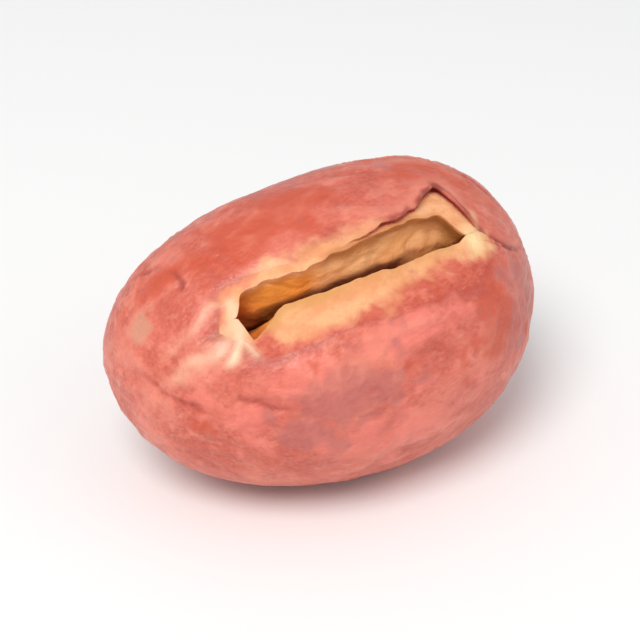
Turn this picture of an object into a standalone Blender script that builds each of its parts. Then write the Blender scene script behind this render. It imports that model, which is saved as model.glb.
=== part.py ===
"""A dried red kidney bean with its coat split along the back, resting on three low points.

Three pieces: the thin red seed coat, torn open along the suture, and the two pale seed halves
(cotyledons) inside it, which have drawn apart at the tear and leave a V-shaped groove between them.
"""

import math

import bmesh
import bpy
from mathutils import Matrix, Vector, noise

# Driving dimensions, in metres
LENGTH = 0.0170
THICKNESS = 0.01115  # across the two halves, which have swollen and spread
DEPTH = 0.0098  # from the split back to the hilum side
COAT_WALL = 0.0003
CLEARANCE = 0.0003  # between the coat and the halves, and between the halves
HILUM_CURL = 0.0009  # how far the ends curl towards the hilum side
SIDE_CURL = 0.0010  # how far they curl towards the back half
REST_DEPTH = 0.0001  # how far the round underside would reach below the surface it lies on
FLAT_RISE = 0.0003  # the height of the flattened underside between the three low points
FLAT_BLEND = 0.00005  # half the height over which it runs into the round side
LOW_POINTS = ((-0.002538, 0.001154), (0.004185, 0.001066), (0.000105, -0.00234))  # x, y once rolled
LOW_POINT_REACH = 0.0009
LOW_POINT_LIMIT = 0.0015  # what is higher than this isn't drawn down to them

# Posture: the length lies along X, and the split faces forward (-Y) and up
SPLIT_ELEVATION = math.radians(54)
PITCH = math.radians(1.2)  # lifts the fatter +X end, which levels the underside

# Proportions of the form
END_BLUNTNESS = 0.15  # 0 is an ellipse
SECTION_SQUARENESS = 0.022
TAPER = 0.03  # the +X end is this much fatter than the middle
HILUM_DENT = 0.0006  # the hollow of the kidney shape
HILUM_DENT_REACH = 0.0034
HILUM_DENT_ANGLE = 0.6
HILUM_HALF_LENGTH = 0.0014  # the raised oval scar in that hollow
HILUM_HALF_WIDTH = 0.0007
HILUM_RIM = 0.00013
HILUM_RIM_PLACE = 0.8  # where the scar's rim is highest, as a share of its half sizes
HILUM_RIM_WIDTH = 0.4
UNDULATION = 0.00013
UNDULATION_WAVE = 0.0046

# The tear in the coat, along X. Both lips start at a blunt end at -X and meet at the +X end.
TEAR_START = -0.0052
TEAR_END = 0.0048
TEAR_SLANT = 12.0  # radians of drift round the section for each metre along X
TEAR_DROP = 0.36  # radians that the +X end and the seam beyond it fall towards the front half
TEAR_DROP_START = 0.0036
TEAR_DROP_END = 0.0068
TEAR_BACK_WIDTH = 0.00115  # from the centre line to the lip on the back half
TEAR_FRONT_WIDTH = 0.00115
TEAR_WIDENING = 50.0  # share by which the tear widens for each metre along X
TEAR_START_RAMP = 0.0007
TEAR_END_RAMP = 0.0012
TEAR_JAG = 0.00010
TEAR_JAG_WAVE = 0.0009
TEAR_JAG_LANES = 3.1  # how far apart the two lips read the noise, so that they differ
LIP_CURL = 0.00010
LIP_CURL_REACH = 0.0006
SEAM_DEPTH = 0.00012  # the crease that the suture leaves beyond the tear
SEAM_REACH = 0.0006
SEAM_END_X = 0.0079  # the crease has faded out here, on both sides

# The groove between the halves below the tear
GROOVE_START = -0.0051
GROOVE_END = 0.0033
GROOVE_START_RAMP = 0.0008
GROOVE_END_RAMP = 0.0006
GROOVE_DEPTH = 0.0021
GROOVE_BACK_WIDTH = 0.00100
GROOVE_FRONT_WIDTH = 0.00012
HALF_HOLLOW = 0.00025  # how far each half's inner face cups

# Mesh density
COAT_STATIONS = 50
COAT_COLUMNS = 52
COLUMN_CROWDING = 0.05  # how much closer the columns are at the lips and the hilum
HALF_STATIONS = 30
HALF_END_STATION = 2  # where the halves' last sections are, counted from their tips
HALF_ARC_POINTS = 18
HALF_WALL_POINTS = 10
HALF_TIP = 0.0002  # how far a half's tip stands out from its last section
MERGE_DISTANCE = 0.000002


def smooth_step(value):
    value = min(max(value, 0.0), 1.0)
    return value * value * (3 - 2 * value)


def window(x, start, end, ramp_in, ramp_out):
    """1 between start and end, 0 outside, with a smooth ramp inside each end."""
    return smooth_step((x - start) / ramp_in) * smooth_step((end - x) / ramp_out)


def station_profile(station):
    """(place along the length from -1 to 1, section size from 0 to 1) at a station angle of 0 to pi."""
    along = -math.cos(station)
    return along, math.sin(station) * (1 + END_BLUNTNESS * along * along)


def section_size(station, inset):
    """(x, half width across the halves, half width towards the back) of one section."""
    along, size = station_profile(station)
    size *= 1 + TAPER * along
    return (
        along * (LENGTH / 2 - inset),
        size * (THICKNESS / 2 - inset),
        size * (DEPTH / 2 - inset),
    )


def curl_at(x):
    """How far the section at x is shifted by the bean's curl."""
    share = 1 / 3 - (2 * x / LENGTH) ** 2
    return Vector((0, -SIDE_CURL * share, HILUM_CURL * share))


def hilum_relief(x, angle):
    """The hollow of the kidney shape, opposite the split, and the oval scar in it."""
    from_hilum = math.pi - abs(math.remainder(angle, 2 * math.pi))
    hollow = math.exp(-((x / HILUM_DENT_REACH) ** 2 + (from_hilum / HILUM_DENT_ANGLE) ** 2))
    across = from_hilum * DEPTH / 2
    oval = math.hypot(x / HILUM_HALF_LENGTH, across / HILUM_HALF_WIDTH)
    scar = math.exp(-(((oval - HILUM_RIM_PLACE) / HILUM_RIM_WIDTH) ** 2))
    return HILUM_RIM * scar - HILUM_DENT * hollow


def form_point(station, angle, inset=0.0, lift=0.0):
    """A point of the bean's form, as (along, across the halves, towards the back).

    angle goes round the section from the back, towards the back half. inset shrinks the form,
    and lift raises the point off it.
    """
    x, across, back = section_size(station, inset)
    radius = 1 + SECTION_SQUARENESS * math.sin(2 * angle) ** 2
    size = station_profile(station)[1]
    direction = Vector((0, math.sin(angle), math.cos(angle)))
    point = Vector((x, across * radius * direction.y, back * radius * direction.z))
    swell = UNDULATION * noise.noise(point / UNDULATION_WAVE)
    point += direction * (swell + lift + hilum_relief(x, angle)) * size
    return point + curl_at(x)


def tear_centre(x):
    """The section angle of the tear's centre line, and of the seam beyond its ends."""
    drop = smooth_step((x - TEAR_DROP_START) / (TEAR_DROP_END - TEAR_DROP_START))
    return TEAR_SLANT * x - TEAR_DROP * drop


def tear_edge(x, side):
    """The section angle of the tear's lip on one side: 1 is the back half, -1 the front half."""
    width = TEAR_BACK_WIDTH if side > 0 else TEAR_FRONT_WIDTH
    width *= 1 + TEAR_WIDENING * x
    opening = window(x, TEAR_START, TEAR_END, TEAR_START_RAMP, TEAR_END_RAMP)
    jag = TEAR_JAG * noise.noise(Vector((x / TEAR_JAG_WAVE, side * TEAR_JAG_LANES, 0)))
    return tear_centre(x) + side * (width + jag) * opening * 2 / DEPTH


def lip_lift(x, angle, back_lip, front_lip):
    """The coat curls outwards at the tear, and dips into the seam beyond its ends."""
    from_lip = min(angle - back_lip, front_lip - angle) * DEPTH / 2
    curl = LIP_CURL * math.exp(-((from_lip / LIP_CURL_REACH) ** 2))
    crease = SEAM_DEPTH * math.exp(-((from_lip / SEAM_REACH) ** 2))
    torn = window(x, TEAR_START, TEAR_END, TEAR_START_RAMP, TEAR_END_RAMP)
    seam = smooth_step((SEAM_END_X - abs(x)) / (SEAM_END_X - TEAR_END))
    return curl * torn - crease * (1 - torn) * seam


def posed(point, floor, rest_height=0.0):
    """Rolls and pitches a form point into its posture, and presses its underside.

    What is below rest_height + FLAT_RISE is pressed flat there, apart from the three low points,
    where the underside comes down to rest_height.
    """
    sine, cosine = math.sin(SPLIT_ELEVATION), math.cos(SPLIT_ELEVATION)
    y = point.y * sine - point.z * cosine
    up = point.y * cosine + point.z * sine
    x = point.x * math.cos(PITCH) - up * math.sin(PITCH)
    z = point.x * math.sin(PITCH) + up * math.cos(PITCH) - floor - rest_height - FLAT_RISE
    if z < -FLAT_BLEND:
        z = 0.0
    elif z < FLAT_BLEND:
        z = (z + FLAT_BLEND) ** 2 / (4 * FLAT_BLEND)
    z += FLAT_RISE
    if z < LOW_POINT_LIMIT:
        nearest = min(math.hypot(x - low_x, y - low_y) for low_x, low_y in LOW_POINTS)
        z *= 1 - smooth_step(1 - nearest / LOW_POINT_REACH)
    return Vector((x, y, z + rest_height))


def floor_level():
    """The height of the resting plane, found on a form that is held clear of it."""
    heights = []
    for i in range(1, COAT_STATIONS):
        for j in range(COAT_COLUMNS):
            angle = 2 * math.pi * j / COAT_COLUMNS
            point = form_point(math.pi * i / COAT_STATIONS, angle)
            heights.append(posed(point, floor=-LENGTH).z - LENGTH)
    return min(heights) + REST_DEPTH


def coat_columns(back_lip, front_lip):
    """Section angles from the back lip round to the front lip, closest at the lips and the hilum."""
    angles = []
    for j in range(COAT_COLUMNS + 1):
        share = j / COAT_COLUMNS
        share -= COLUMN_CROWDING * math.sin(4 * math.pi * share)
        angles.append(back_lip + (front_lip - back_lip) * share)
    return angles


def new_mesh_object(name, bm, material):
    mesh = bpy.data.meshes.new(name)
    bm.to_mesh(mesh)
    bm.free()
    mesh.shade_smooth()
    mesh.materials.append(material)
    made = bpy.data.objects.new(name, mesh)
    bpy.context.scene.collection.objects.link(made)
    return made


def loft(bm, rings, closed):
    """Quads between neighbouring rings of vertices; closed joins each ring's last to its first."""
    count = len(rings[0])
    for one, other in zip(rings, rings[1:]):
        for j in range(count if closed else count - 1):
            k = (j + 1) % count
            bm.faces.new((one[j], one[k], other[k], other[j]))


def fan(bm, ring, tip, closed):
    count = len(ring)
    for j in range(count if closed else count - 1):
        bm.faces.new((ring[j], tip, ring[(j + 1) % count]))


def build_seed_coat(floor, material):
    """One sheet from lip to lip, with a tip at each end, thickened inwards."""
    bm = bmesh.new()
    rings = []
    for i in range(1, COAT_STATIONS):
        station = math.pi * i / COAT_STATIONS
        x = section_size(station, 0)[0]
        back_lip = tear_edge(x, 1)
        front_lip = tear_edge(x, -1) + 2 * math.pi
        ring = []
        for angle in coat_columns(back_lip, front_lip):
            lift = lip_lift(x, angle, back_lip, front_lip)
            point = form_point(station, angle, lift=lift)
            ring.append(bm.verts.new(posed(point, floor)))
        rings.append(ring)
    loft(bm, rings, closed=False)
    for ring, station in ((rings[0], 0), (rings[-1], math.pi)):
        tip = bm.verts.new(posed(form_point(station, 0), floor))
        fan(bm, ring, tip, closed=False)
    bmesh.ops.remove_doubles(bm, verts=bm.verts, dist=MERGE_DISTANCE)
    bmesh.ops.recalc_face_normals(bm, faces=bm.faces)
    coat = new_mesh_object("seed_coat", bm, material)
    wall = coat.modifiers.new("coat wall", "SOLIDIFY")
    wall.thickness = COAT_WALL
    wall.offset = -1
    wall.use_even_offset = True
    return coat


def groove_width(x, below_back, side):
    """How far the groove's wall stands off the suture at a depth below the back."""
    width = GROOVE_BACK_WIDTH if side > 0 else GROOVE_FRONT_WIDTH
    opening = window(x, GROOVE_START, GROOVE_END, GROOVE_START_RAMP, GROOVE_END_RAMP)
    return width * opening * smooth_step(1 - below_back / GROOVE_DEPTH)


def half_section(station, side, inset):
    """One half's outline at a station: round outside, then back up its inner face."""
    x, across, _ = section_size(station, inset)
    half_gap = CLEARANCE / 2
    brim = half_gap + groove_width(x, 0, side)
    first = math.asin(brim / across)
    last = math.pi - math.asin(half_gap / across)
    points = []
    for j in range(HALF_ARC_POINTS + 1):
        angle = first + (last - first) * j / HALF_ARC_POINTS
        points.append(form_point(station, side * angle, inset))
    top, bottom = points[0].copy(), points[-1].copy()
    for j in range(1, HALF_WALL_POINTS):
        share = j / HALF_WALL_POINTS
        height = bottom.z + (top.z - bottom.z) * share
        hollow = HALF_HOLLOW * math.sin(math.pi * share) * 2 * across / THICKNESS
        stand_off = half_gap + hollow + groove_width(x, top.z - height, side)
        points.append(Vector((x, curl_at(x).y + side * stand_off, height)))
    return points


def build_half(name, side, floor, material):
    inset = COAT_WALL + CLEARANCE
    bm = bmesh.new()
    rings = []
    for i in range(HALF_END_STATION, HALF_STATIONS - HALF_END_STATION + 1):
        section = half_section(math.pi * i / HALF_STATIONS, side, inset)
        rings.append([bm.verts.new(posed(p, floor, inset)) for p in section])
    loft(bm, rings, closed=True)
    for ring in (rings[0], rings[-1]):
        middle = sum((v.co for v in ring), Vector()) / len(ring)
        outwards = math.copysign(HALF_TIP, middle.x)
        tip = bm.verts.new(middle + Vector((outwards, 0, 0)))
        fan(bm, ring, tip, closed=True)
    bmesh.ops.recalc_face_normals(bm, faces=bm.faces)
    return new_mesh_object(name, bm, material)


def make_material(name, colour, roughness):
    material = bpy.data.materials.new(name)
    material.use_nodes = True
    shader = material.node_tree.nodes["Principled BSDF"]
    shader.inputs["Base Color"].default_value = (*colour, 1)
    shader.inputs["Roughness"].default_value = roughness
    shader.inputs["Metallic"].default_value = 0
    material.diffuse_color = (*colour, 1)
    return material


def stand_at_origin(pieces):
    """Puts the middle of the coat's footprint over the origin."""
    corners = [vertex.co for vertex in pieces[0].data.vertices]
    middle_x = (min(c.x for c in corners) + max(c.x for c in corners)) / 2
    middle_y = (min(c.y for c in corners) + max(c.y for c in corners)) / 2
    for piece in pieces:
        piece.data.transform(Matrix.Translation((-middle_x, -middle_y, 0)))


def main():
    for old in list(bpy.data.objects):
        bpy.data.objects.remove(old)
    red = make_material("red_seed_coat", (0.47, 0.13, 0.10), 0.42)
    cream = make_material("cream_seed_flesh", (0.85, 0.60, 0.34), 0.7)
    floor = floor_level()
    coat = build_seed_coat(floor, red)
    back_half = build_half("seed_half_back", 1, floor, cream)
    front_half = build_half("seed_half_front", -1, floor, cream)
    stand_at_origin([coat, back_half, front_half])


main()
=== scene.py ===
"""The looks of one dried red kidney bean: its torn, wrinkled coat and the flesh in the tear.

Lengths are in metres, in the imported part's frame. The form follows the same formulas as the part's
solids, so each piece lies where its solid does, and the finer relief is added on top of that.

In the tables below, a layer of noise is (strength, wavelength, lane), and a window along X is
(start, end, ramp in, ramp out). Distances round the section grow towards the back half.
"""

import math

import bpy
import numpy as np
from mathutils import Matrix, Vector, noise

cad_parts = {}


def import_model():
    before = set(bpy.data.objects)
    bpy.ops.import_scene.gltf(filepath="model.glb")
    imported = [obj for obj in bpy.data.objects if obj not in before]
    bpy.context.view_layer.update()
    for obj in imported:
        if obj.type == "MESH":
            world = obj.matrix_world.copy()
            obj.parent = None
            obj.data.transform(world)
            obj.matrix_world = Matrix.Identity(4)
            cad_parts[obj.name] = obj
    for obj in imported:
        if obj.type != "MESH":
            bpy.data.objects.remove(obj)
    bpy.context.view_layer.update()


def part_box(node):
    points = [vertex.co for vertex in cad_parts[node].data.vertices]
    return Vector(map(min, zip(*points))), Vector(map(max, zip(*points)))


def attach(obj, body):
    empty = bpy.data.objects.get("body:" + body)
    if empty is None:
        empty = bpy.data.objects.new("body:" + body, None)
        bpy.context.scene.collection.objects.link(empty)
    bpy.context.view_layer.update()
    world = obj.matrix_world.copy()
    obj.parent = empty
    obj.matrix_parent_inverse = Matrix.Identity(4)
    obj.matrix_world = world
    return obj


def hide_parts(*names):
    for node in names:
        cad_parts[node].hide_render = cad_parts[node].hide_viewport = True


# The form, with the values of the part's source where no comment says otherwise
LENGTH = 0.0170
THICKNESS = 0.01115
DEPTH = 0.0098
HILUM_CURL = 0.0009
SIDE_CURL = 0.0010
REST_DEPTH = 0.0001
FLAT_RISE = 0.0003
FLAT_BLEND = 0.00005
LOW_POINTS = ((-0.002538, 0.001154), (0.004185, 0.001066), (0.000105, -0.00234))
LOW_POINT_REACH = 0.0018  # wider than in the solids, so that they run softly into the underside
LOW_POINT_LIMIT = 0.0015
LOW_POINT_FADE = 0.0006
SPLIT_ELEVATION = math.radians(54)
PITCH = math.radians(1.2)
END_BLUNTNESS = 0.15
SECTION_SQUARENESS = 0.022
TAPER = 0.03
HILUM_DENT = 0.0006
HILUM_DENT_REACH = 0.0034
HILUM_DENT_ANGLE = 0.6
UNDULATION = 0.00013
UNDULATION_WAVE = 0.0046
TEAR_START = -0.0055  # nearer to the -X end than in the solids
TEAR_END = 0.0048
TEAR_SLANT = 12.0
TEAR_DROP = 0.36
TEAR_DROP_START = 0.0036
TEAR_DROP_END = 0.0068
TEAR_BACK_WIDTH = 0.00115
TEAR_FRONT_WIDTH = 0.00115
TEAR_WIDENING = 50.0
TEAR_START_RAMP = 0.0004  # shorter than in the solids
TEAR_END_RAMP = 0.0012
TEAR_JAG = 0.00010
TEAR_JAG_WAVE = 0.0009
TEAR_JAG_LANES = 3.1
GROOVE_START = -0.0054  # nearer to the -X end than in the solids
GROOVE_BACK_WIDTH = 0.00100
GROOVE_FRONT_WIDTH = 0.00012
FLOOR_STATIONS = 50
FLOOR_COLUMNS = 52

# The finer form of the tear
COAT_WALL = 0.00012
FRONT_LIP_WALL = 0.00004  # the coat is rubbed thin at the lower lip
LIP_ROUNDING = 0.00002  # how far the middle of a lip's edge stands into the tear
START_SPREAD = 0.00032  # how much wider the tear is at its -X end, where its lips don't show
START_SPREAD_END = -0.0030
START_SPREAD_RAMP = 0.0012
APEX_X = 0.0038  # the torn back lip stands furthest from the split here
APEX_SPREAD = 0.00050
APEX_SPREAD_REACH = 0.0010
BACK_END_RAMP = 0.0010
FINE_JAG = 0.00005
FINE_JAG_WAVE = 0.00028
BACK_LIP_CURL = 0.00010
BACK_LIP_REACH = 0.00050
LIP_SINK = 0.00016  # where a lip is rubbed thin it sinks into the flesh, so that it has no edge
LIP_SINK_REACH = 0.00050
RUBBED_END = 0.0004  # the back lip is rubbed thin on this side of here
RUBBED_RAMP = 0.0024

# The coat's mesh
COAT_RINGS = 300
COAT_COLUMNS = 250
LINING_COLUMNS = 24  # the coat's inner face, which hardly shows
COLUMN_CROWDING = 0.05
LIP_SAMPLES = 120

# The coat's relief
DIMPLES = (0.000055, 0.0019, 11.0)
CRINKLES = (0.000016, 0.00020, 41.0)
FOLDS = (  # (height, wavelength, lane, sharpness, level)
    (0.000052, 0.00085, 21.0, 3.0, 0.35),
    (0.000032, 0.00042, 31.0, 4.0, 0.3),
)
FOLD_WARP_WAVE = 0.0021
FOLD_WARP = 0.0009
FOLD_STRETCH = np.array([0.40, 1.0, 1.0])  # draws the folds out along the bean
FOLD_MEAN = 0.65
FOLD_PATCHES = (0.9, 0.0034, 51.0)  # where the folds are deep or shallow
FOLD_RANGE = (0.25, 1.2)
WORN_RELIEF = 0.35  # about how much of the wrinkles is left at the front lip
WORN_REACH = 0.0015
PUCKERS = ((0.0017, 0.00005), (0.0026, 0.00004), (0.0035, 0.00003))  # (from the tip, height)
PUCKER_WIDTH = 0.00022
PUCKER_WANDER = (0.0006, 0.0022, 61.0)
PUCKER_PATCHES = (1.6, 0.0017, 71.0)
SEAM_DEPTH = 0.00009  # the crease that carries on from both ends of the tear
SEAM_REACH = 0.00014
SEAM_AFTER = (TEAR_END - 0.0009, 0.0070, 0.0008, 0.0014)
SEAM_BEFORE = (-0.0072, TEAR_START, 0.0012, 0.0006)
SEAM_BEFORE_SHARE = 0.35

# Pale raised streaks that fork from the blunt end of the tear, as places (x, distance round the
# section from the split), each with its strength and width; their paleness is partly the ridges'
# own paler coat and partly a painted highlight
PALE_STREAKS = (
    (((-0.0053, 0.0007), (-0.0055, -0.0002), (-0.0056, -0.0009), (-0.0059, -0.0016)), 1.0, 0.00024),
    (((-0.0056, -0.0003), (-0.0064, -0.0011), (-0.0074, -0.0018)), 0.62, 0.00030),
    (((-0.0054, -0.0010), (-0.0052, -0.0015)), 0.6, 0.00018),
    (((-0.0057, 0.0009), (-0.0066, 0.0003), (-0.0073, -0.0005)), 0.35, 0.00018),
)
STREAK_HEIGHT = 0.00011
STREAK_WANDER = ((0.00030, 0.0012, 81.0), (0.00030, 0.0010, 83.0))  # along, round the section
STREAK_MEAN = 0.75
STREAK_WEAR = (0.8, 0.0007, 85.0)
STREAK_LEAST = 0.35

# Dark creases near the ends, as lines through places (x, distance round the section from the split)
# The coat is painted darker along them, as painted shade
DARK_CREASES = (
    ((-0.0071, 0.0056), (-0.0064, 0.0044), (-0.0061, 0.0032), (-0.0062, 0.0021)),
    ((-0.0080, 0.0004), (-0.0081, -0.0012), (-0.0077, -0.0026), (-0.0070, -0.0038)),
    ((-0.0060, -0.0029), (-0.0052, -0.0036), (-0.0043, -0.0039)),
    ((0.0056, 0.0042), (0.0062, 0.0026), (0.0070, 0.0014)),
)
CREASE_REACH = 0.00011
CREASE_DEPTH = 0.00005
CREASE_WANDER = ((0.00035, 0.0011, 201.0), (0.00035, 0.0010, 203.0))  # along, round the section
CREASE_MEAN = 0.7
CREASE_WEAR = (1.3, 0.0009, 205.0)

# The scar on the hollow side
HILUM_HALF_LENGTH = 0.0014
HILUM_HALF_WIDTH = 0.0007
HILUM_RIM = 0.00012
HILUM_RIM_OVAL = 0.85  # ovals are shares of the scar's half length and width
HILUM_RIM_REACH = 0.28
HILUM_SLIT_DEPTH = 0.00006
HILUM_SLIT_REACH = 0.00012
HILUM_SLIT_OVAL = 0.8
HILUM_BUMPS = (  # the bump on one side of the scar and the pore on the other: (x, height, reach)
    (0.0022, 0.00010, 0.00045),
    (-0.0018, -0.00008, 0.00014),
)
SCAR_OVAL = 0.92
SCAR_FADE = 0.12
SCAR_RING_OVAL = 1.1
SCAR_RING_REACH = 0.16

# Where the coat's patches lie: (x, distance round the section from the tear's centre, reach along,
# reach round)
# Darker orange, partly the coat's own mottling and partly painted shade on the upper left and
# towards the +X end
ORANGE_PATCHES = (
    (-0.0036, 0.0030, 0.0021, 0.0010),
    (-0.0013, 0.0036, 0.0014, 0.0008),
    (0.0036, -0.0038, 0.0009, 0.0007),
    (-0.0064, 0.0036, 0.0007, 0.0006),
    (-0.0071, -0.0043, 0.0003, 0.0004),
    (0.0028, -0.0017, 0.0006, 0.0004),
    (0.0054, -0.0030, 0.0020, 0.0016),
    (0.0054, 0.0034, 0.0022, 0.0017),
)
MAUVE_PATCHES = (
    (-0.0030, -0.0034, 0.0015, 0.0010),
    (-0.0043, -0.0046, 0.0009, 0.0007),
    (0.0058, -0.0020, 0.0010, 0.0014),
    (0.0010, 0.0062, 0.0022, 0.0012),
)
# Paler pink on the lower front side, partly the coat's own mottling and partly painted light from
# the bright floor
PINK_PATCHES = (
    (-0.0040, -0.0024, 0.0013, 0.0006),
    (0.0002, -0.0022, 0.0015, 0.0006),
    (-0.0006, -0.0056, 0.0022, 0.0008),
    (-0.0058, -0.0036, 0.0008, 0.0007),
)
# A pale mark near the -X tip, partly rubbed wear and partly painted highlight
RUB_AND_HIGHLIGHT_MARKS = ((-0.0077, 0.0026, 0.00024, 0.0008),)
PATCH_WANDER = ((0.9, 0.0011, 0.0), (0.5, 0.0004, 9.0))  # lanes counted from the patches' own
PATCH_EDGE = 1.55

# How wide the bare flesh looks on each side of the split: (x, width)
FRONT_BAND = (
    (-0.0053, 0.0009),
    (-0.0036, 0.0014),
    (-0.0010, 0.0011),
    (0.0018, 0.0006),
    (0.0044, 0.0009),
)
BACK_BAND = (
    (-0.0053, 0.0010),
    (-0.0036, 0.0014),
    (-0.0008, 0.00145),
    (0.0006, 0.00115),
    (0.0014, 0.0005),
)
BAND_FADE = 0.00042
BAND_ALONG = (-0.0059, 0.0052, 0.0005, 0.0006)
BAND_RAGS = ((0.00050, 0.0010, 91.0), (0.00030, 0.00038, 92.0), (0.00014, 0.00016, 93.0))

# The dark edge of the torn back lip, partly the torn coat's own edge and partly painted shadow under
# the lifted lip
TORN_EDGE_START = 0.0002
TORN_EDGE_RAMP = 0.0014
TORN_EDGE_WIDTH = 0.00021
TORN_EDGE_FRAY = (0.00016, 0.0005, 95.0)
TORN_EDGE_DASHES = (1.6, 0.00050, 94.0)
APEX = (0.0039, 0.00195)  # the dark spot where the lip turns down, partly painted shadow: (x, from the tear's centre)
APEX_REACH = 0.00024
CREST_RANGE = 0.00016  # the relief from the darkest hollows, painted shade, to the palest crests, partly rubbed wear and partly painted highlight

# The finer form of the flesh
FLESH_INSET = 0.00028
FLESH_TEAR_RISE = 0.00015  # how much nearer to the coat's outside the flesh is round the tear
FLESH_RUBBED_RISE = 0.00025  # the same where the lip is rubbed thin
FLESH_RISE_ALONG = (-0.0066, 0.0066, 0.001, 0.001)
FLESH_RISE_ANGLE = 0.2  # the rise fades beyond this angle from the split
FLESH_RISE_REACH = 0.35
FLESH_GAP = 0.00013  # between the halves at the bottom of the groove
SHUT_OVERLAP = 0.00001  # how far each half passes the split where the halves are shut
WEDGE_WIDTH = 0.00075  # how much wider the groove's front side is at its -X end
WEDGE_END = -0.0038
WEDGE_RAMP = 0.0014
VISIBLE_GROOVE_DEPTH = 0.0019
VISIBLE_GROOVE_END = 0.0038
VISIBLE_START_RAMP = 0.0005
WEDGE_START_RAMP = 0.0002
VISIBLE_END_RAMP = 0.0006
GAP_ALONG = (GROOVE_START - 0.0001, VISIBLE_GROOVE_END + 0.0002, 0.0004, 0.0004)
END_RISE_START = VISIBLE_GROOVE_END - 0.0004  # beyond, the flesh is as high as under a rubbed lip
END_RISE_RAMP = 0.0008
END_RISE_ANGLE = 0.12
END_WAVER = 0.00022  # how far the groove's ends wander with the depth
END_WAVER_WAVE = 0.0006
BRIM_ARCH = (  # the groove's back width: (x, share of GROOVE_BACK_WIDTH)
    (-0.0054, 0.70),
    (-0.0038, 0.72),
    (-0.0012, 0.92),
    (0.0008, 1.18),
    (0.0023, 1.24),
    (0.0031, 1.08),
    (0.0038, 0.75),
)
BRIM_WAVES = ((0.20, 0.0016, 181.0), (0.13, 0.0006, 181.0))  # as shares too
FRONT_BRIM_WAVES = ((0.00010, 0.0014, 191.0), (0.00007, 0.0005, 191.0))
WALL_LUMPS = ((0.00009, 0.0011, 133.0), (0.00004, 0.00045, 133.0))
FLESH_GRAINS = ((0.00003, 0.0009, 131.0), (0.000016, 0.00030, 141.0), (0.000009, 0.00014, 151.0))
FIBRE_STRETCH = np.array([0.35, 1.0, 1.0])  # draws the fibres out along the bean
FIBRE_WARP_WAVE = 0.0012
FIBRE_WARP = 0.0005
FIBRE_DEPTH = 0.00005
FIBRE_WAVE = 0.0008
FIBRE_LANE = 161.0
FIBRE_SHARPNESS = 7.0
FIBRE_LEAST = 0.3  # their share outside the groove
WALL_FADE = 0.0004  # how deep in the groove the wall's own relief is in full

# The flesh's mesh
FLESH_RINGS = 380
FLESH_FIRST_RING = 6  # the rings nearer to a tip than this are left out
FLESH_SKIN_POINTS = 90
FLESH_WALL_POINTS = 70
SKIN_CROWDING = 1.7
WALL_CROWDING = 1.8

# Where the flesh's colours lie
FLESH_WANDER = (0.0005, 0.0012, 173.0)
TOAST = (0.9, 0.0008, 171.0)
TOAST_STRETCH = np.array([0.5, 1.0, 1.0])
LEDGE_DEPTH = 0.00022  # painted shade: the brown band just below the groove's brim
LEDGE_REACH = 0.00026
LEDGE_BRIM_REACH = 0.00012
LEDGE_START = -0.0024
LEDGE_RAMP = 0.0010
FRONT_LEDGE_SHARE = 0.3
LINE_DEPTH = 0.53  # the dark line, painted shadow at the groove's bottom, starts at this share of the groove's depth
LINE_FADE = 0.10
LINE_WANDER = 150.0
LINE_FAINT = 0.45  # its share outside the window
LINE_ALONG = (-0.0046, 0.0026, 0.0016, 0.0012)
# Painted shade along the front half's brim, beside the groove
BRIM_SHADE_ALONG = (-0.0052, 0.0034, 0.0004, 0.0006)
BRIM_SHADE_REACH = 0.00035
BRIM_SHADE_FULL = -0.0012  # it is half as strong on the +X side of here
BRIM_SHADE_RAMP = 0.0015
# Painted shade deep in the groove's closed +X end
RIGHT_END_START = 0.0031
RIGHT_END_RAMP = 0.0004
RIGHT_END_DEPTH = 0.0001
ORANGE_END = -0.0016
LEFT_END = -0.0036
LEFT_RAMP = 0.0012
BRIGHT_SPOT = (0.0041, -0.0003)  # a painted highlight on the flesh beyond the groove's +X end: (x, distance round the section from the split)
BRIGHT_REACH = 0.00050
BRIGHT_STRETCH = 0.9
UNDER_LIP = -0.0002  # the flesh in the tear is bare from here round to the back lip

# Colours, painted one over the other
COAT_BASE = (0.55, 0.086, 0.050)
COAT_MOTTLES = (  # (wavelength, low, high, detail, strength, colour)
    (0.0016, 0.35, 0.65, 3.0, 1.0, (0.68, 0.150, 0.100)),
    (0.00055, 0.52, 0.66, 3.0, 0.5, (0.80, 0.245, 0.165)),
    (0.00045, 0.55, 0.68, 3.0, 0.55, (0.42, 0.055, 0.035)),
    (0.00012, 0.3, 0.7, 2.0, 0.22, (0.80, 0.300, 0.220)),
)
COAT_PATCHES = (  # (field, strength, colour)
    ("pink", 0.5, (0.90, 0.225, 0.175)),
    ("orange", 0.85, (0.56, 0.075, 0.030)),
    ("mauve", 0.6, (0.43, 0.125, 0.115)),
    ("rub_and_highlight", 0.7, (0.60, 0.300, 0.190)),
)
# Paler on the wrinkles' crests, partly rubbed wear and partly painted highlight; darker in their
# hollows, painted shade
CREST_WEAR_AND_HIGHLIGHT = (0.82, 0.28, 0.195)
HOLLOW_SHADE = (0.40, 0.050, 0.034)
# The streaks' pale paint, partly the ridges' own colour and partly painted highlight
STREAK_AND_HIGHLIGHT = ("streak_and_highlight", 1.0, (0.93, 0.600, 0.400))
COAT_MARKS = (
    STREAK_AND_HIGHLIGHT,
    # Dark along the torn back lip, partly painted shadow; in the seam and the creases, painted shade
    ("dark", 0.85, (0.24, 0.016, 0.008)),
    ("scar", 1.0, (0.66, 0.50, 0.36)),
    ("scar_ring", 0.8, (0.10, 0.025, 0.018)),
)
FLESH_BASE = (0.76, 0.315, 0.145)
FLESH_MOTTLES = (
    (0.0007, 0.35, 0.65, 3.0, 1.0, (0.85, 0.430, 0.215)),
    (0.00025, 0.55, 0.70, 3.0, 0.55, (0.70, 0.300, 0.115)),
)
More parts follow.
